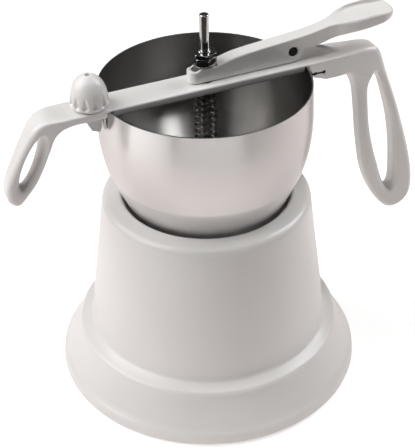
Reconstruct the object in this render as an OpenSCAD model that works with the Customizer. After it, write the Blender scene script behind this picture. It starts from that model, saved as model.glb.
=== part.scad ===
// Dispensing funnel on a bell stand: a steel bowl with a clamped plastic handle frame, whose
// thumb lever lifts a spring-loaded rod and stopper off the outlet. Millimetres.
// Origin: centre of the stand's foot, on the surface. +Z up, +X along the crossbar to the long handle.

/* [Stand] */
// Outer diameter of the stand's foot
foot_d = 244; // [236:1:252]
// Height of the stand's top face
stand_h = 160; // [158:0.5:162]
// Diameter of the opening in the top face
mouth_d = 131; // [130:0.5:134]
// Wall thickness of the stand
stand_wall = 2.6; // [2.2:0.2:3]

/* [Bowl] */
// Outer diameter of the bowl at its rim
rim_d = 160; // [159:0.5:161]
// Height of the rim above the surface
rim_z = 254; // [253:0.5:256]
// Sheet thickness of the bowl
sheet = 1.2; // [1:0.1:1.4]
// Bore of the outlet collar
outlet_d = 20; // [18:0.5:21]

/* [Handle frame] */
// Width of the crossbar
bar_w = 26; // [24:0.5:28]
// Depth of the crossbar's side
bar_t = 6; // [5.5:0.5:7]
// Height of the crossbar's top above the rim
bar_rise = 2; // [1.8:0.1:3]
// Width of the straps of the two loop handles
strap_w = 16; // [14:0.5:18]
// Distance of the clamp stud from the axis
stud_x = 90; // [89:0.5:92]

/* [Lever] */
// Distance of the pivot pin from the axis
pin_x = 70; // [68:0.5:72]
// Height of the pivot pin above the crossbar
pin_h = 9.5; // [9:0.5:10]
// Diameter of the pivot pin
pin_d = 5; // [4:0.5:5.5]
// Outer width of the lever's channel
lever_w = 12; // [11.5:0.5:13]
// Width of the thumb pad
pad_w = 29.5; // [26:0.5:31]
// Travel of the lever, pad down, in degrees
lever_travel = 13; // [10:0.5:13]

/* [Rod] */
// Diameter of the lift rod
rod_d = 7; // [6:0.5:7]
// Height of the top of the rod above the surface
rod_top = 309; // [304:1:312]
// Outside diameter of the return spring
spring_d = 17; // [16:0.5:18]
// Wire diameter of the return spring
wire_d = 1.7; // [1.5:0.1:1.9]
// Number of turns of the return spring
turns = 11; // [9:1:12]

/* [Knob] */
// Diameter of the clamp knob at its base
knob_d = 28; // [27:0.5:30]
// Height of the clamp knob
knob_h = 24.5; // [23:0.5:27]
// Number of grip flutes round the knob
flutes = 12; // [8:1:14]

/* [Hidden] */
$fn = 96;

plastic = [0.93, 0.92, 0.90];
jaw_grey = [0.78, 0.78, 0.77];
steel = [0.76, 0.75, 0.74];
dark_steel = [0.32, 0.32, 0.33];
brass = [0.78, 0.66, 0.38];
silicone = [0.62, 0.62, 0.62];

rim_r = rim_d / 2;
bar_top = rim_z + bar_rise;
bar_bottom = bar_top - bar_t;
pin_z = bar_top + pin_h;
touch = 0.02;          // gap left between pieces that bear on each other
running = 0.05;        // radial clearance of a running fit

// ---- outlines ----------------------------------------------------------------------------

// Points on an arc about [cx, cy], from angle a0 to a1.
function arc(cx, cy, r, a0, a1, n = 6) =
    [for (i = [0:n]) let (a = a0 + (a1 - a0) * i / n) [cx + r * cos(a), cy + r * sin(a)]];

// One point of a Catmull-Rom span between b and c.
function span(a, b, c, d, t) =
    0.5 * (2 * b + (c - a) * t + (2 * a - 5 * b + 4 * c - d) * t * t
    + (3 * b - a - 3 * c + d) * t * t * t);

// Closed smooth outline through the points p, with n steps a span.
function closed(p, n = 4) = let (m = len(p))
    [for (i = [0:m - 1], k = [0:n - 1])
        span(p[(i + m - 1) % m], p[i], p[(i + 1) % m], p[(i + 2) % m], k / n)];

// Open smooth line through the points p.
function open(p, n = 4) = let (m = len(p)) concat(
    [for (i = [0:m - 2], k = [0:n - 1])
        span(p[max(i - 1, 0)], p[i], p[i + 1], p[min(i + 2, m - 1)], k / n)], [p[m - 1]]);

// Left-hand unit normal of a line at point i.
function normal_at(p, i) = let (
    a = p[max(i - 1, 0)], b = p[min(i + 1, len(p) - 1)], d = b - a)
    [-d[1], d[0]] / norm(d);

// The line p moved sideways by t, to its left.
function beside(p, t) = [for (i = [0:len(p) - 1]) p[i] + t * normal_at(p, i)];

function reversed(p) = [for (i = [len(p) - 1:-1:0]) p[i]];

// A sheet of thickness t to the left of the line p, as a closed outline.
function sheet_of(p, t) = concat(p, reversed(beside(p, t)));

// Draws the X-Z outline p at the crossbar's top, w wide across Y.
module across(p, w) {
    translate([0, w / 2, bar_top]) rotate([90, 0, 0]) linear_extrude(w) polygon(p);
}

// A round bar along Y, centred on Y = 0.
module cross_bar(x, z, r, w) {
    translate([x, w / 2, z]) rotate([90, 0, 0]) cylinder(r = r, h = w);
}

module ring(r_out, r_in, z0, z1) {
    rotate_extrude() polygon([[r_in, z0], [r_out, z0], [r_out, z1], [r_in, z1]]);
}

module hexagon_bar(across_flats, h) {
    cylinder(d = across_flats / cos(30), h = h, $fn = 6);
}

// ---- stand -------------------------------------------------------------------------------

// The bowl's lower corner, and its radius where it leaves the stand's top face.
corner = [46.2, 147.6];
corner_r = 14;
corner_end = 24;
exit_r = 63.9;

// Outer radius of the bowl's lower wall at height z.
function lower_wall(z) = let (foot = corner + corner_r * [cos(corner_end), -sin(corner_end)])
    foot[0] + (exit_r - foot[0]) * (z - foot[1]) / (stand_h - foot[1]);

// Outer line of the bell, from the foot up to the mouth.
foot_r = foot_d / 2;
mouth_r = mouth_d / 2;
seat_z = stand_h - 8.5;    // height of the lip's inner edge, where the bowl rests
skirt_line = concat(
    [[foot_r - 7, 0], [foot_r - 4, 0]],
    arc(foot_r - 4, 4, 4, -60, 0, 4),
    arc(foot_r - 7, 6.5, 6.6, 10, 52, 4),
    open([[foot_r - 5, 14.5], [foot_r - 11, 25], [foot_r - 15.5, 34]], 3),
    arc(foot_r - 20.6, 35.6, 5, 15, 75, 4),
    arc(foot_r - 22.4, 47.4, 5, -120, -173, 4));
shoulder_line = concat(
    [[foot_r - 29.6, 72], [foot_r - 39, stand_h - 15]],
    arc(foot_r - 47, stand_h - 8.5, 7.2, 8, 70, 6),
    [[mouth_r + 7, stand_h - 0.3]],
    arc(mouth_r + 3.2, stand_h - 3.2, 3.2, 80, 165, 6));
bell_line = concat(skirt_line, shoulder_line, [[lower_wall(seat_z) + touch, seat_z]]);

module stand_shell() {
    color(plastic) rotate_extrude() intersection() {
        polygon(sheet_of(bell_line, stand_wall));
        square([foot_d, stand_h]);
    }
}

// ---- bowl and outlet ---------------------------------------------------------------------

outlet_r = outlet_d / 2;
neck_r = outlet_r + 4;
neck_z = 117;

// Outer line of the bowl, from the outlet up to the rim.
bowl_line = concat(
    [[neck_r, neck_z]],
    arc(corner[0], corner[1], corner_r, -63, -corner_end, 6),
    [[exit_r, stand_h], [rim_r - 5.4, 184]],
    open([[rim_r - 4.7, 186], [rim_r - 1.6, 198], [rim_r + 0.5, 212],
        [rim_r + 1.1, 230], [rim_r, rim_z]], 4));

module bowl() {
    color(steel) rotate_extrude() polygon(sheet_of(bowl_line, sheet));
}

wall_r = rim_r + 1.2;   // just outside the bowl's widest turn
ear_z = bar_bottom - touch;   // top of the left ear, under the crossbar

module left_ear() {
    ear_t = 1.5;
    color(steel) difference() {
        union() {
            intersection() {
                ring(wall_r + ear_t, wall_r, ear_z - 12, ear_z);
                translate([-wall_r - 3, -7, ear_z - 12]) cube([16, 14, 12]);
            }
            difference() {
                translate([-stud_x - 4.5, -6, ear_z - ear_t]) cube([16, 12, ear_t]);
                cylinder(r = wall_r, h = 2 * rim_z);
            }
        }
        translate([-stud_x, 0, ear_z - 20]) cylinder(d = 6.4, h = 30);
        translate([-stud_x - 20, -3.2, ear_z - 20]) cube([20, 6.4, 30]);
    }
}

slot_z = bar_top - 9.5;   // middle of the slot in the right bracket
ear_w = bar_w - 1.2;      // length of the beaded plate in that slot

module right_ear() {
    color(steel) difference() {
        union() {
            intersection() {
                ring(wall_r + 1.4, wall_r, slot_z - 14, slot_z + 0.7);
                translate([wall_r - 12, -9, slot_z - 14]) cube([16, 18, 16]);
            }
            translate([wall_r - 4, -ear_w / 2, slot_z - 0.7]) cube([16, ear_w, 1.4]);
            cross_bar(wall_r + 12, slot_z, 1.44, ear_w);
            cross_bar(wall_r + 4.5, slot_z, 1.44, ear_w);
        }
        cylinder(r = wall_r, h = 2 * rim_z);
    }
}

collar_r = neck_r + 2;
collar_z = 104;

module outlet_collar() {
    color(steel) rotate_extrude() polygon([
        [outlet_r, collar_z], [collar_r, collar_z], [collar_r, neck_z - 3],
        [neck_r, neck_z - touch], [outlet_r + 3, neck_z - touch],
        [outlet_r, neck_z - 3 - touch]]);
}

seal_t = 1.6;

module nozzle_seal() {
    color(silicone) ring(collar_r - 1, outlet_r + 0.6, collar_z - seal_t - touch, collar_z - touch);
}

nozzle_r = collar_r + 3;
nozzle_tip_z = 66;
nozzle_step_z = collar_z - seal_t - 2 * touch;

module nozzle() {
    color(plastic) rotate_extrude() polygon(concat(
        [[6.5, nozzle_tip_z], [8.5, nozzle_tip_z], [9, nozzle_tip_z + 1]],
        [[11.5, nozzle_step_z - 8]],
        arc(nozzle_r - 4, nozzle_step_z - 1, 4, -80, 0, 5),
        [[nozzle_r, collar_z + 7], [collar_r + running, collar_z + 7],
         [collar_r + running, nozzle_step_z], [outlet_r - 1.2, nozzle_step_z],
         [outlet_r - 1.2, nozzle_step_z - 8]]));
}

// ---- handle frame ------------------------------------------------------------------------

// X-Z outlines, measured from the axis and from the crossbar's top.
left_loop = [[-106, 0], [-126, -0.3], [-134, -4.5], [-142, -16], [-149, -29], [-155.5, -42],
    [-158.5, -52], [-157, -62], [-150, -66], [-142, -59], [-134.5, -49.5], [-128.5, -37],
    [-124.8, -26], [-121.5, -15], [-115.5, -8.3], [-106, -bar_t]];
left_hole = [[-129, -10.5], [-135.5, -17.5], [-142, -28.5], [-147, -41], [-148.5, -51],
    [-145, -53], [-139, -46], [-133.6, -36], [-129, -25], [-126.8, -15]];
right_loop = [[112, 0], [134, 0], [145, -5], [154, -27], [164.5, -54], [175, -85],
    [183.5, -115], [187, -138], [184, -153], [173, -160], [162, -157], [151, -142],
    [140.5, -118], [134.5, -88], [131, -62], [127.5, -38], [121, -23], [112, -17]];
right_hole = [[142, -24], [138, -35], [138.8, -50], [141.5, -72], [146.5, -94], [152, -112],
    [158, -130], [164, -140], [168, -136], [168, -120], [166, -98], [161.5, -73],
    [155, -50], [149, -33]];
bracket = [[wall_r + 1.9, 0], [wall_r + 1.9, -12], [96, -17], [118, -17], [118, 0]];
lug = [[56, -1], [61, 11], [65, 15], [74, 15.5], [82, 13], [92, 8], [112, -1]];

// Half plan of the frame in X-Y, and half front of it in Y-Z.
half_bar = bar_w / 2;
half_strap = strap_w / 2;
plan_half = [[-175, half_strap - 1], [-150, half_strap], [-138, half_strap + 1.5],
    [-128, half_bar - 2], [-118, half_bar], [105, half_bar], [125, half_bar - 1.5],
    [140, half_strap + 2], [152, half_strap], [205, half_strap]];
front_half = [[half_bar, 30], [half_bar, -17], [half_bar - 2.5, -24], [half_strap + 0.5, -32],
    [half_strap, -44], [half_strap, -180]];

function mirrored_x(p) = [for (q = p) [-q[0], q[1]]];
function mirrored_y(p) = [for (q = p) [q[0], -q[1]]];

module frame_plan() {
    linear_extrude(2 * rim_z) polygon(concat(plan_half, reversed(mirrored_y(plan_half))));
}

module frame_front() {
    translate([-200, 0, bar_top]) rotate([90, 0, 90]) linear_extrude(420)
        polygon(concat(front_half, reversed(mirrored_x(front_half))));
}

bush_r = 6;
bush_flange_r = 8.5;
web_w = lever_w - 5.4;

module handle_frame() {
    color(plastic) difference() {
        union() {
            intersection() {
                union() {
                    across([[-112, -bar_t], [116, -bar_t], [116, 0], [-112, 0]], bar_w);
                    across(closed(left_loop), bar_w);
                    across(closed(right_loop), bar_w);
                    across(bracket, bar_w);
                }
                frame_plan();
                frame_front();
            }
            across(lug, web_w);
        }
        across(closed(left_hole), bar_w + 2);
        across(closed(right_hole), bar_w + 2);
        // groove that the rim stands in
        ring(rim_r + 1.8, rim_r - sheet - 1.2, rim_z - 40, rim_z + touch);
        // slot for the right ear, open towards the bowl, with a round end
        translate([wall_r, -bar_w, slot_z - 0.8]) cube([12, 2 * bar_w, 1.6]);
        cross_bar(wall_r + 12, slot_z, 1.5, 2 * bar_w);
        cross_bar(wall_r + 4.5, slot_z, 1.5, 2 * bar_w);
        // rod bush, clamp stud and pivot pin
        cylinder(r = bush_r + touch, h = 2 * rim_z);
        translate([-stud_x, 0, bar_bottom - 1]) cylinder(r = 3.1, h = bar_t + 2);
        cross_bar(pin_x, pin_z, pin_d / 2, bar_w);
    }
}

module rod_bush() {
    color(brass) difference() {
        union() {
            translate([0, 0, bar_bottom]) cylinder(r = bush_r, h = bar_t - 0.5);
            translate([0, 0, bar_bottom - 1.5 - touch]) cylinder(r = bush_flange_r, h = 1.5);
            translate([0, 0, bar_bottom - 1]) cylinder(r = bush_r - 0.5, h = 2);
        }
        cylinder(r = rod_d / 2 + running, h = 2 * rim_z);
    }
}

// ---- lever and its pin -------------------------------------------------------------------

cheek = (lever_w - web_w) / 2 - 0.3;
nose_end = -14;
seat_h = 13;            // height of the crowned seat under the lift washer
crown_r = 14;
pad_end = 156;
pad_top = 30;           // height of the pad's face
heel_r = pin_h - 0.6;   // round end of the cheeks below the pin

// Side outline of the lever.
lever_top = open([[9, 12.2], [15, 14], [25, 16.2], [45, 18.2], [70, 20.2], [88, 22.3],
    [104, 25.4], [117, 28.2], [130, pad_top - 0.4], [142, pad_top]], 3);
lever_side = concat(
    [[nose_end, 0.6]],
    arc(pin_x, pin_h, heel_r, -90, 5, 8),
    open([[88, 9.8], [98, 12], [107, 15.2], [118, 17.8], [134, 19.6], [148, 22]], 3),
    arc(151.4, 25.6, 4.4, -50, 80, 5),
    reversed(lever_top),
    arc(0, seat_h - crown_r, crown_r, 62, 128, 8),
    [[nose_end, 10.5]]);
neck = open([[100, lever_w / 2], [106, lever_w / 2 + 2], [113, pad_w / 2 - 3.2],
    [122, pad_w / 2 - 0.4], [132, pad_w / 2]], 3);
pad_tip = arc(pad_end - pad_w / 2, 0, pad_w / 2, 90, 0, 8);
lever_half = concat(reversed(arc(nose_end + 6, 0, 6, 90, 180, 6)), neck, pad_tip);

module lever_plan(h) {
    linear_extrude(h) polygon(concat(lever_half, reversed(mirrored_y(lever_half))));
}

module lever() {
    inner_w = lever_w - 2 * cheek;
    color(plastic) difference() {
        intersection() {
            across(lever_side, 40);
            translate([0, 0, bar_top]) lever_plan(40);
        }
        // channel under the roof, round the frame's lug
        across([[13, 0], [13, 8], [30, 11.5], [50, 15.2], [70, 17.2], [88, 19.2], [102, 20.5],
            [102, 0]], inner_w);
        // pocket round the rod
        translate([-6, -4.3, bar_top]) cube([14, 8.6, 30]);
        translate([-6, 0, bar_top]) cylinder(r = 4.3, h = 30);
        cross_bar(pin_x, pin_z, pin_d / 2 + running, bar_w);
        // countersunk seats for the pin's head and clip, 1 deep
        for (side = [-1, 1])
            translate([0, side * (lever_w / 2 + 3), 0]) cross_bar(pin_x, pin_z, 4, 8);
        thumb_dish();
    }
}

// A shallow hollow for the thumb, which leaves a lip round the pad.
module thumb_dish() {
    lip = 2.4;
    half = pad_w / 2 - lip;
    intersection() {
        across(concat([[105, 40]], open([[105, 25], [112, 25.1], [120, 26], [132, 26.8],
            [145, 27.2], [154, 29.4]], 3), [[154, 40]]), pad_w);
        linear_extrude(2 * rim_z) polygon(closed([[107, 0], [112, half - 5.5], [121, half - 0.8],
            [132, half], [142, half - 0.6], [150.5, half - 5.5], [pad_end - lip, 0],
            [150.5, 5.5 - half], [142, 0.6 - half], [132, -half], [121, 0.8 - half],
            [112, 5.5 - half]]));
    }
}

// The pin's head and its clip lie in the lever's countersunk seats, one on each side.
head_t = 0.7;
head_y = lever_w / 2 - 1 + running + head_t / 2;

module pivot_pin() {
    color(dark_steel) {
        cross_bar(pin_x, pin_z, pin_d / 2, 2 * head_y);
        translate([0, -head_y, 0]) cross_bar(pin_x, pin_z, 3.6, head_t);
    }
}

module pin_clip() {
    color(dark_steel) translate([0, head_y, 0]) difference() {
        cross_bar(pin_x, pin_z, 3.6, head_t);
        cross_bar(pin_x, pin_z, pin_d / 2, 2);
    }
}

// ---- rod, nuts, spring and stopper -------------------------------------------------------

washer_z = bar_top + seat_h + 0.15;
washer_t = 1;
nut_flats = 16;
nut_t = 5.5;
lock_t = 3.5;
collar_top = 196;
spring_top = bar_bottom - 2.5 - 3 * touch;
rod_bottom = 99;

module rod() {
    color(steel) difference() {
        rotate_extrude() polygon([[0, rod_bottom], [rod_d / 2 - 0.8, rod_bottom],
            [rod_d / 2, rod_bottom + 0.8], [rod_d / 2, rod_top - 1], [rod_d / 2 - 1, rod_top],
            [0, rod_top]]);
        cross_bar(0, collar_top - 3, 1.25, bar_w);
    }
}

module on_rod(z, h) {
    difference() {
        translate([0, 0, z]) children();
        translate([0, 0, z - 1]) cylinder(r = rod_d / 2, h = h + 2);
    }
}

module lift_washer() {
    color(dark_steel) on_rod(washer_z, washer_t) cylinder(r = 8.4, h = washer_t);
}

// A hexagon nut with its upper corners turned off.
module hex_nut(across_flats, h) {
    intersection() {
        hexagon_bar(across_flats, h);
        rotate_extrude() polygon([[0, 0], [across_flats / 2, 0], [across_flats / 2 + 2, 1],
            [across_flats / 2 + 2, h - 1], [across_flats / 2, h], [0, h]]);
    }
}

module lift_nut() {
    color(dark_steel) on_rod(washer_z + washer_t, nut_t) rotate(26) hex_nut(nut_flats, nut_t);
}

module lock_nut() {
    color(dark_steel) on_rod(washer_z + washer_t + nut_t, lock_t)
        rotate(18) hex_nut(nut_flats, lock_t);
}

module spring_seat() {
    color(steel) translate([0, 0, spring_top + touch]) difference() {
        cylinder(r = 9, h = 1);
        translate([0, 0, -1]) cylinder(r = rod_d / 2 + running, h = 3);
    }
}

// One ring of points round the wire at turn angle a.
wire_sides = 8;
function wire_ring(a, z) = [for (k = [0:wire_sides - 1])
    let (w = 360 * k / wire_sides, r = (spring_d - wire_d) / 2 + wire_d / 2 * cos(w))
    [r * cos(a), r * sin(a), z + wire_d / 2 * sin(w)]];

module return_spring() {
    steps = 20;
    low = collar_top + wire_d / 2 + touch;
    high = spring_top - wire_d / 2;
    count = turns * steps;
    // one closed turn at each end, an even pitch between
    end_pitch = wire_d + 0.1;
    pitch = (high - low - 2 * end_pitch) / (turns - 2);
    height = function (t) t < 1 ? end_pitch * t
        : t > turns - 1 ? high - low - end_pitch * (turns - t) : end_pitch + pitch * (t - 1);
    points = [for (i = [0:count]) each wire_ring(360 * i / steps, low + height(i / steps))];
    sides = [for (i = [0:count - 1], k = [0:wire_sides - 1])
        let (a = i * wire_sides, n = (k + 1) % wire_sides)
        [a + k, a + n, a + wire_sides + n, a + wire_sides + k]];
    ends = [[for (k = [wire_sides - 1:-1:0]) k],
        [for (k = [0:wire_sides - 1]) count * wire_sides + k]];
    color(dark_steel) polyhedron(points, concat(sides, ends), convexity = 10);
}

module spring_collar() {
    color(steel) difference() {
        on_rod(collar_top - 6, 6) cylinder(r = 9, h = 6);
        cross_bar(0, collar_top - 3, 1.25, bar_w);
    }
}

module collar_pin() {
    color(dark_steel) cross_bar(0, collar_top - 3, 1.25, 17.6);
}

stopper_z = neck_z - 9;

module stopper() {
    seat_gap = 0.1;
    color(silicone) on_rod(0, 200) rotate_extrude() polygon([
        [0, stopper_z], [outlet_r - 1.6, stopper_z], [outlet_r - seat_gap - 0.6, neck_z - 3.6],
        [outlet_r + 2.6 - seat_gap, neck_z - 0.4], [outlet_r + 2.6 - seat_gap, neck_z + 2],
        [outlet_r, neck_z + 4], [0, neck_z + 4]]);
}

module stopper_nut() {
    color(steel) on_rod(stopper_z - 5, 5) hex_nut(12, 5);
}

// ---- clamp -------------------------------------------------------------------------------

knob_z = bar_top + 1;

// Side line of the knob's dome, above its base.
knob_line = concat([[0, 0], [knob_d / 2 - 1, 0]],
    open([[knob_d / 2, 1.2], [knob_d / 2 - 0.3, knob_h * 0.3], [knob_d / 2 - 1.6, knob_h * 0.56],
        [knob_d / 2 - 4.6, knob_h * 0.8], [5.2, knob_h - 1.2], [2.4, knob_h]], 4),
    [[0, knob_h]]);

module clamp_knob() {
    color(plastic) translate([-stud_x, 0, knob_z]) difference() {
        rotate_extrude() polygon(knob_line);
        for (i = [0:flutes - 1]) rotate(360 * (i + 0.5) / flutes)
            translate([knob_d / 2 + 0.5, 0, 1.6]) cylinder(r = 1.9, h = 7.5, $fn = 24);
        translate([0, 0, -1]) cylinder(r = 4, h = 15);
        cylinder(r = 2, h = knob_h + 1);
    }
}

module knob_insert() {
    color(brass) translate([-stud_x, 0, knob_z + touch]) difference() {
        cylinder(r = 4, h = 13);
        translate([0, 0, -1]) cylinder(r = 2.5, h = 16);
    }
}

stud_end = ear_z - 9;

module clamp_stud() {
    color(steel) translate([-stud_x, 0, 0]) rotate_extrude() polygon([[0, stud_end],
        [2, stud_end], [2.5, stud_end + 0.5], [2.5, knob_z + 12.5], [0, knob_z + 12.5]]);
}

module clamp_washer() {
    color(steel) translate([-stud_x, 0, bar_top + touch]) difference() {
        cylinder(r = 7, h = 1 - 2 * touch);
        translate([0, 0, -1]) cylinder(r = 2.5 + running, h = 3);
    }
}

jaw_top = ear_z - 1.5 - touch;

module clamp_jaw() {
    color(jaw_grey) difference() {
        translate([0, 0, jaw_top - bar_top]) across(closed([[-stud_x - 4.2, 0],
            [-stud_x - 4.2, -4], [-stud_x - 1, -10.5], [-wall_r - 3.6, -13],
            [-wall_r - 2.2, -8], [-wall_r - 2.2, 0]], 1), 11);
        translate([-stud_x, 0, 0]) cylinder(r = 2.5 + running, h = rim_z);
    }
}

// ---- assembly ----------------------------------------------------------------------------

stand_shell();
bowl();
left_ear();
right_ear();
outlet_collar();
nozzle();
nozzle_seal();
handle_frame();
rod_bush();
pivot_pin();
pin_clip();
lever();
rod();
lift_washer();
lift_nut();
lock_nut();
spring_seat();
return_spring();
spring_collar();
collar_pin();
stopper();
stopper_nut();
clamp_knob();
knob_insert();
clamp_stud();
clamp_washer();
clamp_jaw();
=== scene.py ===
import math

import bpy
import bmesh
import numpy as np
from mathutils import Matrix, Vector


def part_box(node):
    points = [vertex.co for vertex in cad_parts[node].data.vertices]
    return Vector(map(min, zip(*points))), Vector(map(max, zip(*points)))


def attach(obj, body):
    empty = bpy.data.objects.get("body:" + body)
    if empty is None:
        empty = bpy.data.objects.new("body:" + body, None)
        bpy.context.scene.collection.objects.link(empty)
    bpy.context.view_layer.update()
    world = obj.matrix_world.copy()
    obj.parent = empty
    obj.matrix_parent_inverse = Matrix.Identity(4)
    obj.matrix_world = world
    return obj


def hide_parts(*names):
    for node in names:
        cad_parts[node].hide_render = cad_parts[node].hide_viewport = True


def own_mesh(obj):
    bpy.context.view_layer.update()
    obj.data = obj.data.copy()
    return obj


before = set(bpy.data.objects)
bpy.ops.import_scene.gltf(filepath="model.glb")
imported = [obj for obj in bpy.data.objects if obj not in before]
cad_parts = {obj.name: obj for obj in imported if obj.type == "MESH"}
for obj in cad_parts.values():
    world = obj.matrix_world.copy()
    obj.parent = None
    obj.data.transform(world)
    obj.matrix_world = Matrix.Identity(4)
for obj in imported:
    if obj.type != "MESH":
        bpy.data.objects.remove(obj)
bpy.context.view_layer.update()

MM = 0.001


# ---- numbers shared with the CAD model, in mm --------------------------------------------------

def top_of(node):
    """Height of a CAD node's top."""
    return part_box(node)[1].z / MM


def low_of(node):
    """Height of a CAD node's underside."""
    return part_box(node)[0].z / MM


FOOT_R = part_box("stand_shell")[1].x / MM    # outer radius of the stand's foot
STAND_H = top_of("stand_shell")
STAND_WALL = 2.6
MOUTH_R = 65.5                              # radius of the stand's mouth
RIM_Z = top_of("bowl")
RIM_R = 80.0                                # outer radius at the bowl's rim
SHEET = 1.2                                 # thickness of the bowl's steel
WALL_R = RIM_R + 1.2                        # radius just outside the bowl's wall
BAR_T = 6.0                                 # thickness of the crossbar
BAR_TOP = RIM_Z + 2.0                       # height of its top face
BUSH_BORE_R = 6.02                          # hole in the crossbar for the rod's bush
STUD_X, STUD_BORE_R = -90.0, 3.1            # clamp stud, and its hole in the crossbar
SLOT_Z = BAR_TOP - 9.5                      # middle of the dumbbell slot
SLOT_HALF_H, SLOT_BEAD_R = 0.8, 1.5
PIN_X, PIN_H, PIN_R = 70.0, 9.5, 2.5        # lever's pin: place, height over the bar, radius
LEVER_BORE_R = PIN_R + 0.05
PIN_HEAD_SEAT_R, PIN_HEAD_SEAT_Y = 4.0, 5.0
PAD_R = 14.75                               # half width of the thumb pad
KNOB_R, KNOB_H, KNOB_FLUTES = 14.0, 24.5, 12
KNOB_HOLE_R, INSERT_BORE_R, INSERT_TOP = 1.9, 4.02, 14.0
JAW_HALF_W, JAW_BORE_R = 5.5, 2.56
ROD_R = 3.5
NUT_FLATS, LIFT_NUT_T, LOCK_NUT_T = 16.0, 5.5, 3.5


# ---- lines -------------------------------------------------------------------------------------

def arc(cx, cy, r, a0, a1, n=12):
    """Points on an arc about (cx, cy), from angle a0 to a1 in degrees."""
    t = np.radians(np.linspace(a0, a1, n + 1))
    return np.c_[cx + r * np.cos(t), cy + r * np.sin(t)]


def smooth(points, n=8, closed=False):
    """Catmull-Rom line through the points, n steps a span."""
    p = np.asarray(points, float)
    m = len(p)
    spans = range(m) if closed else range(m - 1)
    t = (np.arange(n) / n)[:, None]
    out = []
    for i in spans:
        if closed:
            a, b, c, d = p[i - 1], p[i], p[(i + 1) % m], p[(i + 2) % m]
        else:
            a, b, c, d = p[max(i - 1, 0)], p[i], p[i + 1], p[min(i + 2, m - 1)]
        out.append(0.5 * (2 * b + (c - a) * t + (2 * a - 5 * b + 4 * c - d) * t * t
                          + (3 * b - a - 3 * c + d) * t ** 3))
    if not closed:
        out.append(p[-1:])
    return np.vstack(out)


def line(*parts):
    """One line through all the points of its parts."""
    return np.vstack([np.asarray(q, float).reshape(-1, 2) for q in parts])


def sheet_of(p, t, round_lip=True):
    """Closed outline of a sheet of thickness t to the left of the line p."""
    d = np.gradient(p, axis=0)
    n = np.c_[-d[:, 1], d[:, 0]] / np.linalg.norm(d, axis=1)[:, None]
    inner = p + t * n
    if not round_lip:
        return line(p, inner[::-1])
    end, side = (p[-1] + inner[-1]) / 2, n[-1] * t / 2
    along = np.array([side[1], -side[0]])
    turn = np.radians(np.linspace(20, 160, 6))[:, None]
    lip = end - side * np.cos(turn) + along * np.sin(turn)
    return line(p, lip, inner[::-1])


# ---- solids from a signed distance -------------------------------------------------------------

def outline_field(points, margin=6.0, step=0.5):
    """Signed distance to a closed outline, sampled once and read back between its samples."""
    p = np.asarray(points, float)
    lo, hi = p.min(0) - margin, p.max(0) + margin
    us, vs = (np.arange(a, b + step, step) for a, b in zip(lo, hi))
    u, v = np.meshgrid(us, vs, indexing="ij")
    best, inside = np.full(u.shape, 1e9), np.zeros(u.shape, bool)
    for (ax, ay), (bx, by) in zip(p, np.roll(p, -1, 0)):
        ex, ey, wx, wy = bx - ax, by - ay, u - ax, v - ay
        length = ex * ex + ey * ey
        if length < 1e-12:
            continue
        t = np.clip((wx * ex + wy * ey) / length, 0, 1)
        best = np.minimum(best, (wx - t * ex) ** 2 + (wy - t * ey) ** 2)
        if ey:
            inside ^= ((ay > v) != (by > v)) & (wx < ex * wy / ey)
    d = np.sqrt(best)
    d[inside] *= -1

    def read(a, b):
        fa = np.clip((a - us[0]) / step, 0, len(us) - 1.001)
        fb = np.clip((b - vs[0]) / step, 0, len(vs) - 1.001)
        i, j = fa.astype(int), fb.astype(int)
        s, t = fa - i, fb - j
        return ((1 - s) * ((1 - t) * d[i, j] + t * d[i, j + 1])
                + s * ((1 - t) * d[i + 1, j] + t * d[i + 1, j + 1]))
    return read


def meet(a, b, r):
    """Where both a and b hold, with the edge between them rounded to radius r."""
    a, b = a + r, b + r
    return (np.minimum(np.maximum(a, b), 0)
            + np.hypot(np.maximum(a, 0), np.maximum(b, 0)) - r)


def join(a, b, k):
    """Union with a fillet of about k."""
    h = np.maximum(k - np.abs(a - b), 0) / k
    return np.minimum(a, b) - h * h * k / 4


def cut(a, b, k=0.6):
    """a without b, with the edge softened by about k."""
    return -join(-a, b, k)


def ease(t):
    """0 up to t = 0, 1 from t = 1 on, and a smooth step between."""
    t = np.clip(t, 0, 1)
    return t * t * (3 - 2 * t)


def profile(points, blur=8.0, step=0.5):
    """The polyline through the points (position, value), with its corners blurred over blur mm."""
    p = np.asarray(points, float)
    at = np.arange(p[0, 0], p[-1, 0] + step, step)
    value = np.interp(at, p[:, 0], p[:, 1])
    n = int(blur / step / 2)
    window = np.ones(2 * n + 1) / (2 * n + 1)
    for _ in range(2):
        value = np.convolve(np.pad(value, n, mode="edge"), window, "valid")
    return lambda q: np.interp(q, at, value)


CORNERS = [(i, j, k) for i in (0, 1) for j in (0, 1) for k in (0, 1)]


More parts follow.
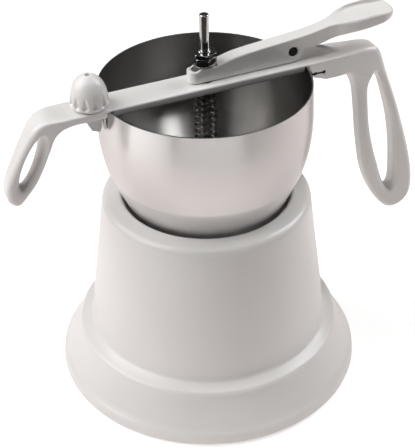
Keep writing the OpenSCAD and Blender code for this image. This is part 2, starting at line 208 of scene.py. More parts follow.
def skin(shape, lo, hi, cell):
    """Closed quad mesh of the surface where shape(x, y, z) is 0."""
    axes = [np.arange(a, b + cell, cell) for a, b in zip(lo, hi)]
    x, y, z = axes
    d = shape(x[:, None, None], y[None, :, None], z[None, None, :])
    d = np.ascontiguousarray(np.broadcast_to(d, (len(x), len(y), len(z))))
    solid = d < 0
    nx, ny, nz = (s - 1 for s in d.shape)
    count = sum(solid[i:nx + i, j:ny + j, k:nz + k].astype(np.int8) for i, j, k in CORNERS)
    mixed = (count > 0) & (count < 8)
    where = np.argwhere(mixed)
    index = np.full(mixed.shape, -1)
    index[mixed] = np.arange(len(where))
    total, hits = np.zeros((len(where), 3)), np.zeros(len(where))
    for a in CORNERS:
        for axis in range(3):
            if a[axis]:
                continue
            b = np.array(a)
            b[axis] = 1
            da, db = d[tuple((where + a).T)], d[tuple((where + b).T)]
            cross = (da < 0) != (db < 0)
            total[cross] += a
            total[cross, axis] += da[cross] / (da[cross] - db[cross])
            hits[cross] += 1
    p = np.array([q[0] for q in axes]) + cell * (where + total / hits[:, None])
    faces = []
    for axis in range(3):
        order = (axis, (axis + 1) % 3, (axis + 2) % 3)
        s, n = np.transpose(solid, order), np.transpose(index, order)
        i, j, k = np.argwhere(s[:-1, 1:-1, 1:-1] != s[1:, 1:-1, 1:-1]).T
        quad = np.stack([n[i, j, k], n[i, j + 1, k], n[i, j + 1, k + 1], n[i, j, k + 1]], 1)
        flip = ~s[i, j + 1, k + 1]
        quad[flip] = quad[flip][:, ::-1]
        faces.append(quad)
    # settle each point onto the true surface, by the slope over probe mm either side
    probe = 0.15
    for _ in range(3):
        v = shape(*p.T)
        g = np.stack([(shape(*(p + step).T) - shape(*(p - step).T)) / (2 * probe)
                      for step in probe * np.eye(3)], 1)
        size = np.maximum((g * g).sum(1), 0.25)
        p = p - g * np.clip(v / size, -cell, cell)[:, None]
    return p, np.vstack(faces)


# ---- meshes and objects ------------------------------------------------------------------------

def lathe(outline, sides, closed=True):
    """Solid of revolution of an (r, z) outline; points at r = 0 lie on the axis."""
    angle = np.linspace(0, 2 * math.pi, sides, endpoint=False)
    verts, rings = [], []
    for r, z in outline:
        if r < 1e-6:
            rings.append([len(verts)] * sides)
            verts.append((0.0, 0.0, z))
        else:
            rings.append(list(range(len(verts), len(verts) + sides)))
            verts.extend((r * math.cos(t), r * math.sin(t), z) for t in angle)
    faces = []
    for i in range(len(rings) if closed else len(rings) - 1):
        a, b = rings[i], rings[(i + 1) % len(rings)]
        for k in range(sides):
            n = (k + 1) % sides
            face = list(dict.fromkeys((a[k], a[n], b[n], b[k])))
            if len(face) > 2:
                faces.append(face)
    return verts, faces


def piece(name, geometry, body, nodes, material, sharp=38.0):
    """A shown piece that rides on a body and stands for CAD nodes.

    Edges above sharp degrees stay crisp; 0 leaves the whole piece smooth.
    """
    verts, faces = geometry
    mesh = bpy.data.meshes.new(name)
    mesh.from_pydata((np.asarray(verts, float) * MM).tolist(), [],
                     faces.tolist() if isinstance(faces, np.ndarray) else faces)
    bm = bmesh.new()
    bm.from_mesh(mesh)
    bmesh.ops.recalc_face_normals(bm, faces=bm.faces)
    bm.to_mesh(mesh)
    bm.free()
    mesh.shade_smooth()
    if sharp:
        mesh.set_sharp_from_angle(angle=math.radians(sharp))
    mesh.materials.append(material)
    obj = bpy.data.objects.new(name, mesh)
    bpy.context.scene.collection.objects.link(obj)
    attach(obj, body)
    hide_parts(*nodes)
    return obj


# ---- materials ---------------------------------------------------------------------------------

class Nodes:
    """A material's node tree, with short calls for the nodes used here."""

    def __init__(self, name):
        """A new material with its shader, ready for more nodes."""
        self.material = bpy.data.materials.new(name)
        self.material.use_nodes = True
        self.tree = self.material.node_tree
        self.bsdf = next(n for n in self.tree.nodes if n.type == "BSDF_PRINCIPLED")

    def add(self, kind, **values):
        """A new node, with its properties set."""
        node = self.tree.nodes.new(kind)
        for key, value in values.items():
            setattr(node, key, value)
        return node

    def link(self, a, b):
        """Runs output a into input b."""
        self.tree.links.new(a, b)

    def put(self, name, value):
        """Sets or links an input of the shader."""
        if isinstance(value, bpy.types.NodeSocket):
            self.link(value, self.bsdf.inputs[name])
        else:
            self.bsdf.inputs[name].default_value = value

    def place(self):
        """The point's place on the object, in metres."""
        return self.add("ShaderNodeTexCoord").outputs["Object"]

    def math(self, operation, a, b=0.0):
        """One sum of two numbers or outputs."""
        node = self.add("ShaderNodeMath", operation=operation)
        for socket, value in zip(node.inputs, (a, b)):
            if isinstance(value, bpy.types.NodeSocket):
                self.link(value, socket)
            else:
                socket.default_value = value
        return node.outputs[0]

    def noise(self, vector, scale, detail=2.0, rough=0.5):
        """Cloudy noise about 0.5, with scale cells to a unit of the vector."""
        node = self.add("ShaderNodeTexNoise")
        self.link(vector, node.inputs["Vector"])
        node.inputs["Scale"].default_value = scale
        node.inputs["Detail"].default_value = detail
        node.inputs["Roughness"].default_value = rough
        return node.outputs["Fac"]

    def between(self, fac, low, high):
        """fac mapped to the range low..high."""
        node = self.add("ShaderNodeMapRange")
        self.link(fac, node.inputs["Value"])
        node.inputs["From Min"].default_value = 0.3
        node.inputs["From Max"].default_value = 0.7
        node.inputs["To Min"].default_value = low
        node.inputs["To Max"].default_value = high
        return node.outputs["Result"]

    def mix(self, fac, a, b):
        """Colour a where fac is 0, b where it is 1."""
        node = self.add("ShaderNodeMix", data_type="RGBA")
        self.link(fac, node.inputs["Factor"])
        node.inputs["A"].default_value = (*a, 1)
        node.inputs["B"].default_value = (*b, 1)
        return node.outputs["Result"]

    def bump(self, *layers):
        """Bump layers (height, strength, distance in metres), one over the other."""
        normal = None
        for height, strength, distance in layers:
            node = self.add("ShaderNodeBump")
            node.inputs["Strength"].default_value = strength
            node.inputs["Distance"].default_value = distance
            self.link(height, node.inputs["Height"])
            if normal is not None:
                self.link(normal, node.inputs["Normal"])
            normal = node.outputs["Normal"]
        self.put("Normal", normal)

    def around_axis(self, stretch, fine):
        """Coordinates that change slowly round the vertical axis and quickly along the wall."""
        part = self.add("ShaderNodeSeparateXYZ")
        self.link(self.place(), part.inputs[0])
        x, y = part.outputs[0], part.outputs[1]
        r = self.math("MAXIMUM", self.math("SQRT", self.math(
            "ADD", self.math("MULTIPLY", x, x), self.math("MULTIPLY", y, y))), 1e-5)
        whole = self.add("ShaderNodeCombineXYZ")
        self.link(self.math("MULTIPLY", self.math("DIVIDE", x, r), stretch), whole.inputs[0])
        self.link(self.math("MULTIPLY", self.math("DIVIDE", y, r), stretch), whole.inputs[1])
        self.link(self.math("MULTIPLY", self.math("ADD", part.outputs[2], r), fine),
                  whole.inputs[2])
        return whole.outputs[0]


def moulded_plastic(name, low, high, roughness, coat=0.25):
    """Moulded plastic: faint cloudiness in the colour, a fine skin and slow flow marks."""
    m = Nodes(name)
    p = m.place()
    m.put("Base Color", m.mix(m.noise(p, 14, 3), low, high))
    m.put("Roughness", m.between(m.noise(p, 55, 3), roughness - 0.04, roughness + 0.05))
    m.put("Coat Weight", coat)
    m.put("Coat Roughness", 0.16)
    m.put("IOR", 1.5)
    m.bump((m.noise(p, 38, 2), 0.12, 0.0005), (m.noise(p, 1700, 2), 0.05, 0.0002))
    return m.material


def spun_steel(name, outside, inside, roughness, anisotropy):
    """Satin sheet steel round the axis: smooth outside; inside, a darker colour that is painted
    shade, and streaked.
    """
    m = Nodes(name)
    cloud = m.noise(m.place(), 16, 2)
    rings = m.noise(m.around_axis(1.2, 900), 1.0, 3, 0.6)
    streaks = m.noise(m.around_axis(9, 3), 1.0, 2, 0.5)
    facing = m.add("ShaderNodeVectorMath", operation="DOT_PRODUCT")
    m.link(m.add("ShaderNodeTexCoord").outputs["Normal"], facing.inputs[0])
    m.link(m.around_axis(1, 0), facing.inputs[1])
    within = m.math("LESS_THAN", facing.outputs["Value"], 0)
    # inside faces take the darker inside colour: painted shade for the bowl's dark inside
    tone_with_painted_shade = m.add("ShaderNodeMix", data_type="RGBA")
    m.link(within, tone_with_painted_shade.inputs["Factor"])
    m.link(m.mix(cloud, outside, tuple(0.93 * c for c in outside)), tone_with_painted_shade.inputs["A"])
    m.link(m.mix(streaks, inside, tuple(0.85 * c for c in inside)), tone_with_painted_shade.inputs["B"])
    m.put("Metallic", 1.0)
    m.put("Base Color", tone_with_painted_shade.outputs["Result"])
    rougher = m.math("MULTIPLY", within, m.between(streaks, 0.065, 0.095))
    evenly = m.between(cloud, roughness - 0.004, roughness + 0.004)
    m.put("Roughness", m.math("ADD", rougher, evenly))
    m.put("Anisotropic", anisotropy)
    m.put("Anisotropic Rotation", 0.25)
    tangent = m.add("ShaderNodeTangent", direction_type="RADIAL", axis="Z")
    m.put("Tangent", tangent.outputs[0])
    m.bump((rings, 0.004, 0.0001), (cloud, 0.02, 0.0008))
    return m.material


def turned_metal(name, colour, dull, roughness, scratches=0.08):
    """Turned or plated metal with fine tool marks and slight tarnish."""
    m = Nodes(name)
    marks = m.noise(m.around_axis(3.0, 1400), 1.0, 3, 0.6)
    spots = m.noise(m.place(), 420, 3)
    m.put("Metallic", 1.0)
    m.put("Base Color", m.mix(spots, colour, dull))
    m.put("Roughness", m.between(spots, max(roughness - 0.05, 0.02), roughness + 0.07))
    m.bump((marks, scratches, 0.0001), (spots, 0.06, 0.0001))
    return m.material


def rubber(name, low, high):
    """Matt rubber with a faint mottle and a fine grain."""
    m = Nodes(name)
    p = m.place()
    m.put("Base Color", m.mix(m.noise(p, 180, 3), low, high))
    m.put("Roughness", m.between(m.noise(p, 400, 2), 0.5, 0.62))
    m.bump((m.noise(p, 2200, 2), 0.12, 0.0002))
    return m.material


WHITE = moulded_plastic("white_plastic", (0.80, 0.775, 0.755), (0.85, 0.835, 0.82), 0.34)
JAW = moulded_plastic("grey_plastic", (0.60, 0.595, 0.585), (0.66, 0.655, 0.645), 0.42, 0.1)
# the second colour, for the bowl's inside, is darker as painted shade
STEEL = spun_steel("bowl_steel", (0.68, 0.665, 0.655), (0.38, 0.37, 0.36), 0.27, 0.7)
CHROME = turned_metal("rod_chrome", (0.60, 0.595, 0.59), (0.54, 0.535, 0.53), 0.07, scratches=0.03)
BRIGHT = turned_metal("plain_steel", (0.72, 0.71, 0.70), (0.62, 0.61, 0.60), 0.24)
DARK = turned_metal("dark_steel", (0.42, 0.42, 0.42), (0.34, 0.34, 0.34), 0.10, scratches=0.03)
BLACK = turned_metal("blackened_steel", (0.02, 0.02, 0.02), (0.012, 0.012, 0.012), 0.30)
SPRING = turned_metal("spring_steel", (0.26, 0.26, 0.26), (0.18, 0.18, 0.18), 0.10)
BRASS = turned_metal("brass_insert", (0.75, 0.58, 0.28), (0.60, 0.45, 0.20), 0.24)
BRONZE = turned_metal("bush_bronze", (0.26, 0.20, 0.13), (0.18, 0.14, 0.09), 0.35)
SILICONE = rubber("silicone", (0.50, 0.50, 0.49), (0.58, 0.57, 0.56))


# ---- stand and bowl ----------------------------------------------------------------------------

def stand():
    """The bell: rolled foot, flared skirt, ledge, tapered wall, shoulder and turned-in mouth."""
    outer = line(
        [(FOOT_R - 7, 0), (FOOT_R - 4, 0)],
        arc(FOOT_R - 4, 4, 4, -60, 0, 8),
        arc(FOOT_R - 7, 6.5, 6.6, 10, 52, 8),
        smooth([(FOOT_R - 5, 14.5), (FOOT_R - 11, 25), (FOOT_R - 15.5, 34)], 8),
        arc(FOOT_R - 20.6, 35.6, 5, 15, 75, 10),
        arc(FOOT_R - 22.4, 47.4, 5, -120, -173, 10),
        [(FOOT_R - 29.6, 72), (FOOT_R - 34.4, 108), (FOOT_R - 39, STAND_H - 15)],
        arc(FOOT_R - 47, STAND_H - 8.5, 7.2, 8, 70, 14),
        [(MOUTH_R + 7, STAND_H - 0.3)],
        arc(MOUTH_R + 3.2, STAND_H - 3.2, 3.2, 80, 165, 12),
        [(MOUTH_R - 3.7, STAND_H - 8.5)])
    outline = sheet_of(outer, STAND_WALL)
    outline[:, 1] = np.clip(outline[:, 1], 0, STAND_H)
    return lathe(outline, 288)


def bowl():
    """The funnel bowl of rolled sheet: open neck, round floor, crease and bellied wall."""
    outer = line(
        [(14, 117)], arc(46.2, 147.6, 14, -63, -24, 10),
        [(63, 156.6), (63.9, STAND_H), (65.4, 163.4), (73.3, 181.1), (RIM_R - 5.4, 184)],
        smooth([(RIM_R - 4.7, 186), (RIM_R - 1.6, 198), (RIM_R + 0.5, 212), (RIM_R + 1.1, 230),
                (RIM_R, RIM_Z)], 12))
    return lathe(sheet_of(outer, SHEET, round_lip=False), 288)


# ---- handle frame ------------------------------------------------------------------------------

def frame_outline():
    """The frame's outline from the side, as x and height over the crossbar's top."""
    left = smooth([(-100, 0), (-112, 0), (-126, -0.3), (-134, -4.5), (-142, -16), (-149, -29),
                   (-155.5, -42), (-158.5, -52), (-157, -62), (-150, -66), (-142, -59),
                   (-134.5, -49.5), (-128.5, -37), (-124.8, -26), (-121.5, -15), (-115.5, -8.3),
                   (-106, -BAR_T), (-98, -BAR_T)])
    right = smooth([(112, -17), (118, -18), (122, -24), (127.5, -38), (131, -62), (134.5, -88),
                    (140.5, -118), (151, -142), (162, -157), (173, -160), (184, -153),
                    (187, -138), (183.5, -115), (175, -85), (164.5, -54), (154, -27),
                    (145, -5), (134, 0), (112, 0)])
    bracket = line(arc(WALL_R + 3.4, -11, 1.5, 180, 245, 4), [(96, -17)])
    return line(left, [(WALL_R + 1.9, -BAR_T)], bracket, right)


def handle_frame():
    """Crossbar with its two loop handles, lug, rim groove and ear slot, in one moulding."""
    outline = outline_field(frame_outline())
    left_hole = outline_field(smooth([
        (-129, -10.5), (-135.5, -17.5), (-142, -28.5), (-147, -41), (-148.5, -51), (-145, -53),
        (-139, -46), (-133.6, -36), (-129, -25), (-126.8, -15)], closed=True), 40)
    right_hole = outline_field(smooth([
        (142, -24), (138, -35), (138.8, -50), (141.5, -72), (146.5, -94), (152, -112),
        (158, -130), (164, -140), (168, -136), (168, -120), (166, -98), (161.5, -73),
        (155, -50), (149, -33)], closed=True), 40)
    lug = outline_field(smooth([(52, -3), (56, -1), (61, 11), (65, 15), (74, 15.5), (82, 13),
                                (92, 8), (112, -1), (114, -3)], closed=True), 20)
    plan = profile([(-175, 7), (-150, 8), (-138, 9.5), (-128, 11), (-118, 13), (105, 13),
                    (125, 11.5), (140, 10), (152, 8), (205, 8)])
    front = profile([(-180, 8), (-44, 8), (-32, 8.5), (-24, 10.5), (-17, 13), (40, 13)])

    def shape(x, y, z):
        h = z - BAR_TOP
        out = ease((np.abs(x + 6) - 112) / 22)        # 0 in the crossbar, 1 in the loops
        down = ease((-h - 18) / 22) * (x > 0)
        rounding = 1.3 + 3.4 * np.maximum(out, down)
        flat = np.maximum(outline(x, h), -np.minimum(left_hole(x, h), right_hole(x, h)))
        width = np.minimum(plan(x), front(h))
        d = meet(flat, np.abs(y) - width, rounding)
        d = join(d, meet(lug(x, h), np.abs(y) - 3.3, 0.8), 1.6)
        r = np.hypot(x, y)
        groove = np.maximum(np.abs(r - (RIM_R - 0.3)) - 2.1, z - RIM_Z - 0.02)
        d = cut(d, groove, 1.6)
        slot = np.maximum(np.abs(z - SLOT_Z) - SLOT_HALF_H, np.abs(x - WALL_R - 6) - 6)
        for bead_x in (WALL_R + 4.5, WALL_R + 12):
            slot = np.minimum(slot, np.hypot(x - bead_x, z - SLOT_Z) - SLOT_BEAD_R)
        d = cut(d, slot, 0.5)
        d = cut(d, r - BUSH_BORE_R, 0.3)
        d = cut(d, np.hypot(x - STUD_X, y) - STUD_BORE_R, 0.3)
        return cut(d, np.hypot(x - PIN_X, h - PIN_H) - PIN_R, 0.2)

    return skin(shape, (-163, -15.5, 92), (191, 15.5, 275), 0.72)


# ---- lever -------------------------------------------------------------------------------------

def lever():
    """Thumb lever: forked nose round the rod, hollow beam, and a broad dished pad."""
    top = smooth([(9, 12.2), (15, 14), (25, 16.2), (45, 18.2), (70, 20.2), (88, 22.3),
                  (104, 25.4), (117, 28.2), (130, 29.6), (142, 30)])
    under = smooth([(88, 9.8), (98, 12), (107, 15.2), (118, 17.8), (134, 19.6), (148, 22)])
    side = outline_field(line([(-14, 0.6)], arc(PIN_X, PIN_H, 8.9, -90, 5), under,
                              arc(151.4, 25.6, 4.4, -50, 80), top[::-1], arc(0, -1, 14, 62, 128),
                              [(-14, 10.5)]), 20, 0.4)
    neck = smooth([(100, 6), (106, 8), (113, 11.55), (122, 14.35), (132, PAD_R)])
    half = line(arc(-8, 0, 6, 180, 90), neck, arc(156 - PAD_R, 0, PAD_R, 90, 0, 20))
    plan = outline_field(line(half, half[::-1] * (1, -1)), 20, 0.4)
    rim = line([(107, 0), (112, 6.85), (121, 11.55), (132, 12.35), (142, 11.75), (150.5, 6.85),
                (153.6, 0)])
    dish = outline_field(smooth(line(rim, rim[-2:0:-1] * (1, -1)), closed=True), 30, 0.4)
    dish_floor = profile([(100, 25), (112, 25.1), (120, 26), (132, 26.8), (145, 27.2),
                          (160, 30.2)], 3)
    channel = outline_field([(13, -4), (13, 8), (30, 11.5), (50, 15.2), (70, 17.2), (88, 19.2),
                             (102, 20.5), (102, -4)], 20, 0.4)

    def shape(x, y, z):
        h = z - BAR_TOP
        rounding = 1.0 + 1.6 * ease((x - 100) / 20)
        d = meet(side(x, h), plan(x, y), rounding)
        d = cut(d, meet(channel(x, h), np.abs(y) - 3.6, 0.6), 0.3)
        pocket = np.maximum(np.abs(x - 1) - 7, np.abs(y) - 4.3)
        pocket = np.minimum(pocket, np.hypot(x + 6, y) - 4.3)
        d = cut(d, pocket, 0.9)
        d = cut(d, meet(dish(x, y), dish_floor(x) - h, 1.3), 0.8)
        round_pin = np.hypot(x - PIN_X, h - PIN_H)
        d = cut(d, round_pin - LEVER_BORE_R, 0.2)
        head_seat = np.maximum(round_pin - PIN_HEAD_SEAT_R, PIN_HEAD_SEAT_Y - np.abs(y))
        return cut(d, head_seat, 0.4)

    return skin(shape, (-16, -16.5, BAR_TOP - 2), (158, 16.5, BAR_TOP + 32.5), 0.55)


# ---- clamp -------------------------------------------------------------------------------------

def knob():
    """Domed clamp knob: a foot ring, teardrop flutes and a small hole on top."""
    z0 = low_of("clamp_knob")
    wall = smooth([(KNOB_R, 1.2), (KNOB_R - 0.3, KNOB_H * 0.3), (KNOB_R - 1.6, KNOB_H * 0.56),
                   (KNOB_R - 4.6, KNOB_H * 0.8), (5, KNOB_H - 1.2), (1.6, KNOB_H)])
    half = line([(0, 0), (KNOB_R - 0.8, 0)], wall, [(0, KNOB_H)])
    dome = outline_field(line(half, half[::-1] * (-1, 1)), 8, 0.25)
    step = 2 * math.pi / KNOB_FLUTES
    drop_low, drop_long = 3.9, 7.0

    def shape(x, y, z):
        u, v, h = x - STUD_X, y, z - z0
        r = np.hypot(u, v)
        turn = np.arctan2(v, u)
        turn = (turn + step / 2) % step - step / 2
        d = dome(r, h)
        # one teardrop, wide below and narrow above, folded round the knob
        a, b = r * np.cos(turn) - (KNOB_R + 0.1), r * np.sin(turn)
        t = np.clip((h - drop_low) / drop_long, 0, 1)
        drop_r = 2.15 - 1.35 * t
        drop = np.sqrt((a + 0.3 * t) ** 2 + b ** 2 + (h - drop_low - drop_long * t) ** 2) - drop_r
        d = cut(d, drop, 0.9)
        d = cut(d, r - KNOB_HOLE_R, 0.5)
        return cut(d, np.maximum(r - INSERT_BORE_R, h - INSERT_TOP), 0.2)

    return skin(shape, (STUD_X - 16, -16, z0 - 1.5), (STUD_X + 16, 16, z0 + 26.5), 0.4)


def jaw():
    """Clamp jaw under the left arm: a rounded block bored for the stud."""
    top = top_of("clamp_jaw") - BAR_TOP
    block = outline_field(smooth([
        (STUD_X - 4.2, top), (STUD_X - 4.2, top - 4), (STUD_X - 1, top - 10.5),
        (-WALL_R - 3.6, top - 13), (-WALL_R - 2.2, top - 8), (-WALL_R - 2.2, top)], 1, True),
        8, 0.25)

    def shape(x, y, z):
        d = meet(block(x, z - BAR_TOP), np.abs(y) - JAW_HALF_W, 0.8)
        return cut(d, np.hypot(x - STUD_X, y) - JAW_BORE_R, 0.4)

    return skin(shape, (STUD_X - 6.5, -7.5, BAR_TOP + top - 15),
                (-WALL_R, 7.5, BAR_TOP + top + 2), 0.4)


# ---- rod, nuts and spring ----------------------------------------------------------------------

def rod():
    """Plain rod with a broken lower edge and a rounded top."""
    low, high, r = low_of("rod"), top_of("rod"), ROD_R
    outline = line([(0, low), (r - 0.8, low), (r, low + 0.8), (r, high - 1.1)],
                   arc(r - 0.9, high - 1.1, 0.9, 8, 60, 6),
                   [(r - 1.4, high - 0.15), (0, high)])
    return lathe(outline, 72, closed=False)


def nut(z, thick, turned):
    """A chamfered hexagon nut on the rod, turned round it by an angle in degrees."""
    corner = NUT_FLATS / 2 / math.cos(math.pi / 6)
    chamfer = math.radians(28)

    def shape(x, y, zz):
        h = zz - z
        r, turn = np.hypot(x, y), np.arctan2(y, x)
        turn = (turn - math.radians(turned)) % (math.pi / 3) - math.pi / 6
        side = r * np.cos(turn) - NUT_FLATS / 2
        d = meet(side, np.abs(h - thick / 2) - thick / 2, 0.3)
        bevel = (r - corner + 0.9) * math.tan(chamfer) - np.minimum(h, thick - h)
        d = np.maximum(d, bevel * math.cos(chamfer))
        d = cut(d, r - ROD_R, 0.3)
        sink = (r - ROD_R - 0.7) - np.minimum(h, thick - h)
        return cut(d, sink * 0.7, 0.1)

    reach = corner + 1.5
    return skin(shape, (-reach, -reach, z - 1.2), (reach, reach, z + thick + 1.2), 0.3)


def spring():
    """Compression spring with closed, flattened ends."""
    coil_r, wire, turns, steps, sides = 7.65, 0.85, 11, 56, 14
    low, high = low_of("return_spring") + wire, top_of("return_spring") - wire
    end_pitch = 2 * wire + 0.1
    pitch = (high - low - 2 * end_pitch) / (turns - 2)
    count = turns * steps
    t = np.arange(count + 1) / steps
    z = np.where(t < 1, end_pitch * t, np.where(
        t > turns - 1, high - low - end_pitch * (turns - t), end_pitch + pitch * (t - 1)))
    z = np.convolve(np.pad(z, 7, mode="reflect", reflect_type="odd"), np.ones(15) / 15, "valid")
    a, w = 2 * math.pi * t[:, None], np.linspace(0, 2 * math.pi, sides, endpoint=False)[None, :]
    taper = np.clip(np.minimum(t, turns - t) * 9 + 0.55, 0, 1)[:, None]
    r = coil_r + wire * np.cos(w) * taper
    p = np.stack([r * np.cos(a), r * np.sin(a), low + z[:, None] + wire * np.sin(w) * taper], 2)
    ring = np.arange(sides)
    quads = [np.stack([i * sides + ring, i * sides + (ring + 1) % sides,
                       (i + 1) * sides + (ring + 1) % sides, (i + 1) * sides + ring], 1)
             for i in range(count)]
    faces = np.vstack(quads).tolist() + [ring[::-1].tolist(), (count * sides + ring).tolist()]
    return p.reshape(-1, 3), faces


piece("bell_stand", stand(), "stand", ["stand_shell"], WHITE)
piece("funnel_bowl", bowl(), "funnel", ["bowl"], STEEL)
piece("crossbar_handles", handle_frame(), "funnel", ["handle_frame"], WHITE, 0)
piece("thumb_lever", lever(), "lever", ["lever"], WHITE, 0)
piece("fluted_knob", knob(), "knob", ["clamp_knob"], WHITE, 0)
piece("hook_jaw", jaw(), "jaw", ["clamp_jaw"], JAW, 0)
piece("lift_rod", rod(), "rod", ["rod"], CHROME)
nut_z = low_of("lift_nut")
piece("lift_hex_nut", nut(nut_z, LIFT_NUT_T, 26), "rod", ["lift_nut"], DARK, 30)
piece("lock_hex_nut", nut(nut_z + LIFT_NUT_T, LOCK_NUT_T, 18), "rod", ["lock_nut"],
      DARK, 30)
coil = piece("coil_spring", spring(), "funnel", ["return_spring"], SPRING)
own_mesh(coil)

# CAD nodes that stay get their material, and small broken edges; lengths here are in metres.
WELD_WITHIN, BROKEN_EDGE = 0.00001, 0.0002
KEPT = {
    "left_ear": BRIGHT, "right_ear": BLACK, "outlet_collar": BRIGHT, "nozzle": WHITE,
    "nozzle_seal": SILICONE, "rod_bush": BRONZE, "pivot_pin": BLACK, "pin_clip": BLACK,
    "lift_washer": DARK, "spring_seat": BRIGHT, "spring_collar": BRIGHT, "collar_pin": DARK,
    "stopper": SILICONE, "stopper_nut": BRIGHT, "knob_insert": BRASS, "clamp_stud": BRIGHT,
    "clamp_washer": BRIGHT,
}
for name, material in KEPT.items():
    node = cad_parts[name]
    node.data.materials.clear()
    node.data.materials.append(material)
    weld = node.modifiers.new("weld", "WELD")
    weld.merge_threshold = WELD_WITHIN
    bevel = node.modifiers.new("edges", "BEVEL")
    bevel.width = BROKEN_EDGE
    bevel.segments = 2
    bevel.limit_method = "ANGLE"
    bevel.angle_limit = math.radians(40)


# ---- floor, light and camera -------------------------------------------------------------------

def stage_round(name, outline, sides, material, seen, bounce):
    """A surface of revolution round the object, seen by the camera or lighting the object."""
    verts, faces = lathe(outline, sides, closed=False)
    mesh = bpy.data.meshes.new(name)
    mesh.from_pydata(verts, [], faces)
    mesh.materials.append(material)
    obj = bpy.data.objects.new(name, mesh)
    obj.visible_camera = seen
    obj.visible_diffuse = obj.visible_glossy = obj.visible_transmission = bounce
    obj.visible_shadow = False
    bpy.context.scene.collection.objects.link(obj)
    return obj


def floor_paint(name, colour, glow, glow_colour):
    """Matt, faintly uneven paint that also glows."""
    m = Nodes(name)
    m.put("Base Color", m.mix(m.noise(m.place(), 3, 2), colour, tuple(c * 0.98 for c in colour)))
    m.put("Roughness", 0.9)
    m.put("Specular IOR Level", 0.0)
    m.put("Emission Color", (*glow_colour, 1))
    m.put("Emission Strength", glow)
    return m.material


def backdrop_paint(name, glow):
    """White that only glows."""
    m = Nodes(name)
    m.put("Base Color", (0, 0, 0, 1))
    m.put("Emission Color", m.mix(m.noise(m.place(), 0.3, 1), (1, 1, 1), (0.99, 0.99, 0.99)))
    m.put("Emission Strength", glow)
    return m.material


def softbox(name, bearing, elevation, distance, size, power, aim_z=0.17, spread=180):
    """An area light aimed at the axis; its bearing runs clockwise from the camera's."""
    a, e = math.radians(bearing + CAMERA_BEARING), math.radians(elevation)
    target = Vector((0, 0, aim_z))
    place = target + distance * Vector((-math.sin(a) * math.cos(e), -math.cos(a) * math.cos(e),
                                        math.sin(e)))
    data = bpy.data.lights.new(name, "AREA")
    data.shape = "RECTANGLE"
    data.size, data.size_y = size
    data.energy = power
    data.spread = math.radians(spread)
    obj = bpy.data.objects.new(name, data)
    turn = (target - place).to_track_quat("-Z", "Y")
    obj.matrix_world = Matrix.Translation(place) @ turn.to_matrix().to_4x4()
    bpy.context.scene.collection.objects.link(obj)
    return obj


# Metres and degrees from here on.
CAMERA_BEARING, CAMERA_PITCH, CAMERA_ROLL = 23.8, 35.61, -0.0136    # the roll in radians
CAMERA_DISTANCE, CAMERA_AIM_Z = 0.9962, 0.12495
LENS, SENSOR, SHIFT_X = 100.45, 36.0, 0.0016
FLOOR_Z, TABLE_Z = -0.0003, -0.0006
TABLE_BACK = 0.5
WHITE_LIGHT, WARM_LIGHT = (1, 1, 1), (1.0, 0.87, 0.85)
WORLD_COLOUR, WORLD_STRENGTH = (1.0, 0.97, 0.95, 1), 0.06

# The camera sees the floor and the backdrop, and neither lights the object. The table isn't seen:
# it sends light up from below, and its middle is behind the object.
stage_round("floor", [(0, FLOOR_Z), (5.0, FLOOR_Z)], 96,
            floor_paint("floor", (0.82, 0.82, 0.82), 0.50, WHITE_LIGHT), seen=True, bounce=False)
table = stage_round("table", [(0, TABLE_Z), (1.05, TABLE_Z)], 96,
                    floor_paint("table", (0.84, 0.80, 0.79), 0.22, WARM_LIGHT),
                    seen=False, bounce=True)
away = math.radians(CAMERA_BEARING)
table.location = (TABLE_BACK * math.sin(away), TABLE_BACK * math.cos(away), 0)
dome = arc(0, 0, 6.0, -2, 90, 24)
dome[-1, 0] = 0
stage_round("backdrop", dome, 64, backdrop_paint("backdrop", 1.05), seen=True, bounce=False)

scene = bpy.context.scene
world = bpy.data.worlds.new("studio")
world.use_nodes = True
world.node_tree.nodes["Background"].inputs["Color"].default_value = WORLD_COLOUR
world.node_tree.nodes["Background"].inputs["Strength"].default_value = WORLD_STRENGTH
scene.world = world

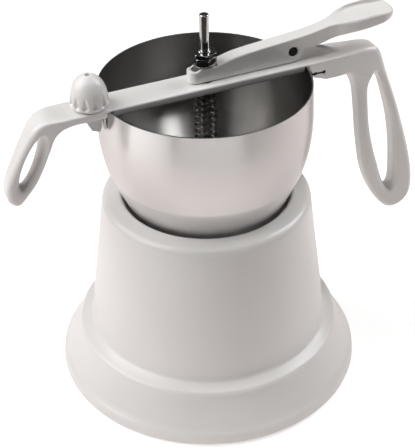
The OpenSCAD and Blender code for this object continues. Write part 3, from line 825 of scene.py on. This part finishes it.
# The bowl mirrors what is round it, so it has lights of its own, and the rest doesn't get them.
bowl_only = bpy.data.collections.new("bowl_only")
not_bowl = bpy.data.collections.new("not_bowl")
for group in (bowl_only, not_bowl):
    group.objects.link(bpy.data.objects["funnel_bowl"])
not_bowl.collection_objects[0].light_linking.link_state = "EXCLUDE"
# name, bearing, elevation, distance, size, power
for light in (softbox("left", 82, 42, 1.1, (1.0, 1.0), 12.0),
              softbox("right", -112, 38, 1.2, (0.5, 0.8), 8.0),
              softbox("top", 60, 86, 1.2, (0.7, 0.7), 2.0),
              softbox("front", -15, 2, 1.35, (0.9, 0.35), 1.3)):
    light.light_linking.receiver_collection = not_bowl
# The gleams are small and narrow, aimed in at the mouth so that they miss the outside.
GLEAM = {"size": (0.15, 0.09), "aim_z": 0.245, "spread": 22}
for light in (softbox("bowl_left", 72, -3, 1.1, (1.8, 0.3), 7.6),
              softbox("bowl_front", -4, -3, 1.0, (1.2, 0.3), 2.6),
              softbox("bowl_gleam_right", -48, 37, 0.4, power=0.06, **GLEAM),
              softbox("bowl_gleam_far_right", -95, 37, 0.4, power=0.035, **GLEAM)):
    light.light_linking.receiver_collection = bowl_only

camera_data = bpy.data.cameras.new("camera")
camera_data.sensor_width = SENSOR
camera_data.lens = LENS
camera_data.shift_x = SHIFT_X
camera_data.clip_start, camera_data.clip_end = 0.01, 50
camera = bpy.data.objects.new("camera", camera_data)
scene.collection.objects.link(camera)
azimuth, pitch = math.radians(CAMERA_BEARING), math.radians(CAMERA_PITCH)
ahead = Vector((math.sin(azimuth) * math.cos(pitch), math.cos(azimuth) * math.cos(pitch),
                -math.sin(pitch)))
right = Vector((math.cos(azimuth), -math.sin(azimuth), 0))
up = right.cross(ahead)
right, up = (math.cos(CAMERA_ROLL) * right + math.sin(CAMERA_ROLL) * up,
             math.cos(CAMERA_ROLL) * up - math.sin(CAMERA_ROLL) * right)
camera.matrix_world = (Matrix.Translation(Vector((0, 0, CAMERA_AIM_Z)) - ahead * CAMERA_DISTANCE)
                       @ Matrix((right, up, -ahead)).transposed().to_4x4())
scene.camera = camera
scene.view_settings.view_transform = "Standard"
